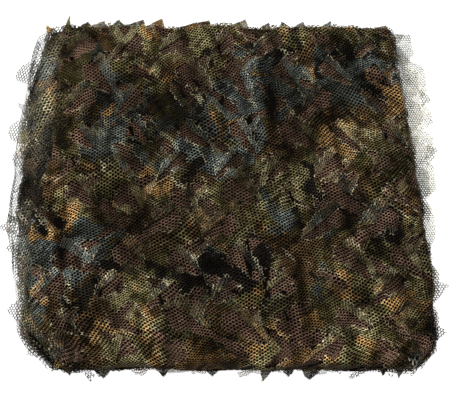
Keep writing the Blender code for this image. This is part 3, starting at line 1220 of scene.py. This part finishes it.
def shaded_mesh():
    """The layers inside the pile, dark in each other's shade, with the mesh's rows just showing, and
    lighter where their folds come out to the front and the back."""
    finish = Finish("shaded_mesh", 0.95)
    cloth = finish.map("cloth")
    rows = finish.noise(cloth, 0.0025, 1.0)
    hidden = finish.mixed(rows, tone(2, 1, 0), tone(11, 7, 4))
    folds = finish.mixed(rows, tone(50, 39, 28), tone(124, 98, 70))
    # dark as painted shade inside the pile, lighter as painted light on the folds at the front and the back
    finish.colour(finish.mixed(finish.attribute("bare"), hidden, folds))
    return finish.material


# ----------------------------------------
# The object

PRINTED, BROWN, SHADED = printed_mesh(), brown_mesh(), shaded_mesh()

TOP_WINDOW = Window(100, 6.96, 9.022, 4.965, 7.088, TOP_CUTS, ragged_end=0.006, ragged_far=0.012)
SIDE_WINDOWS = [
    Window(200, 0.95, 2.06, -0.02, 1.03, SIDE_CUTS, 0.9, 0.1, ragged_near=0.008),
    Window(220, 4.95, 6.14, -0.02, 1.03, SIDE_CUTS, 0.8, 0.1, ragged_near=0.008),
    Window(240, 2.96, 4.05, 5.97, 7.02, SIDE_CUTS, ragged_far=0.008),
]
BACK_WINDOWS = [
    Window(300, 0.02, 8.98, 0.975, 2.025, light=1.3, reverse=0.1),
    Window(320, 0.02, 7.00, 4.975, 6.025, light=1.3),
]
FRONT_FOLD = Window(340, 0.02, 8.98, 2.975, 4.025, light=1.8)
FRONT_EDGES = [
    Window(360, 0.02, 8.98, -0.006, 0.030, light=1.6, ragged_near=0.005),
    Window(380, 0.02, 7.00, 6.970, 7.006, light=1.6, ragged_far=0.005),
]


def windows_piece(name, windows, net, material):
    """A piece made of windows on one net."""
    return net_piece(name, [net_part(window, net) for window in windows], material)


leaf_top = windows_piece("leaf_net_top", [TOP_WINDOW], LEAF_NET, PRINTED)
ground_top = windows_piece("ground_net_top", [TOP_WINDOW], GROUND_NET, BROWN)
leaf_bends = windows_piece("leaf_net_bends", SIDE_WINDOWS, LEAF_NET, PRINTED)
leaf_edges = windows_piece("leaf_net_edges", BACK_WINDOWS + FRONT_EDGES, LEAF_NET, PRINTED)
ground_windows = SIDE_WINDOWS + FRONT_EDGES + [FRONT_FOLD]
ground_sides = windows_piece("ground_net_sides", ground_windows, GROUND_NET, BROWN)
leaf_slack = net_piece("leaf_net_slack", [loose_part(0), loose_part(1), slack_part()], PRINTED)
second_plies = [tab_part(tab, 1) for tab in TABS if tab.edge in TIP_EDGES]
leaf_tabs = net_piece("leaf_net_tabs", [tab_part(tab, 0) for tab in TABS] + second_plies, PRINTED)
inside = inner_layers("inner_layers")
inside.data.materials.append(SHADED)


def cloth_area(obj):
    """The area of all facets of a piece."""
    areas = np.zeros(len(obj.data.polygons))
    obj.data.polygons.foreach_get("area", areas)
    return float(areas.sum())


for piece, slot in (
    (leaf_top, "printed_mesh"), (leaf_bends, "printed_mesh"), (leaf_edges, "printed_mesh"),
    (leaf_slack, "printed_mesh"), (leaf_tabs, "printed_mesh"),
    (ground_top, "brown_mesh"), (ground_sides, "brown_mesh"),
):
    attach(piece, "root")
    yarn = cloth_area(piece)
    width = 0.40 if "top" in piece.name else 0.35
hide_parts("leaf_net")
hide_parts("ground_net")
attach(inside, "root")


# ----------------------------------------
# Studio

FLOOR_REACH = 3.0


def studio_floor():
    """White paper, bright by itself, so that hardly a shadow shows on it."""
    mesh = bpy.data.meshes.new("studio_floor")
    corners = [(x * FLOOR_REACH, y * FLOOR_REACH, 0) for x, y in ((-1, -1), (1, -1), (1, 1), (-1, 1))]
    mesh.from_pydata(corners, [], [(0, 1, 2, 3)])
    floor = place_object("studio_floor", mesh)
    finish = Finish("lit_paper", 0.9)
    finish.colour((0.10, 0.10, 0.10, 1.0))
    finish.shader.inputs["Emission Color"].default_value = (1.0, 1.0, 1.0, 1.0)
    finish.shader.inputs["Emission Strength"].default_value = 1.0
    mesh.materials.append(finish.material)


def soft_light(name, place, size, power):
    """A square lamp that faces the pile's middle."""
    lamp = bpy.data.lights.new(name, "AREA")
    lamp.size = size
    lamp.energy = power
    obj = place_object(name, lamp)
    obj.location = place
    aim(obj, (0, 0, 0.03))


def aim(obj, target):
    """Turns a lamp or camera so that it looks at a point, with its top upwards."""
    away = np.array(obj.location) - np.array(target)
    sideways = math.atan2(away[0], -away[1])
    down = math.atan2(math.hypot(away[0], away[1]), away[2])
    obj.rotation_euler = (down, 0, sideways)


def studio_camera(target, elevation, distance, lens):
    """A camera straight in front of a target, at an elevation in degrees."""
    data = bpy.data.cameras.new("camera")
    data.lens = lens
    camera = place_object("camera", data)
    rise = math.radians(elevation)
    x, y, z = target
    camera.location = (x, y - distance * math.cos(rise), z + distance * math.sin(rise))
    aim(camera, target)
    bpy.context.scene.camera = camera


scene = bpy.context.scene
if scene.world is None:
    scene.world = bpy.data.worlds.new("studio")
scene.world.use_nodes = True
sky = scene.world.node_tree.nodes["Background"]
sky.inputs["Color"].default_value = (1.0, 1.0, 1.0, 1.0)
sky.inputs["Strength"].default_value = 0.20
scene.view_settings.view_transform = "Standard"

studio_floor()
soft_light("overhead", (-0.42, 0.16, 1.75), 0.45, 80.0)
soft_light("fill", (1.05, 0.10, 1.25), 0.45, 22.0)
studio_camera((0.0, -0.0055, 0.030), 72, 1.30, 104)
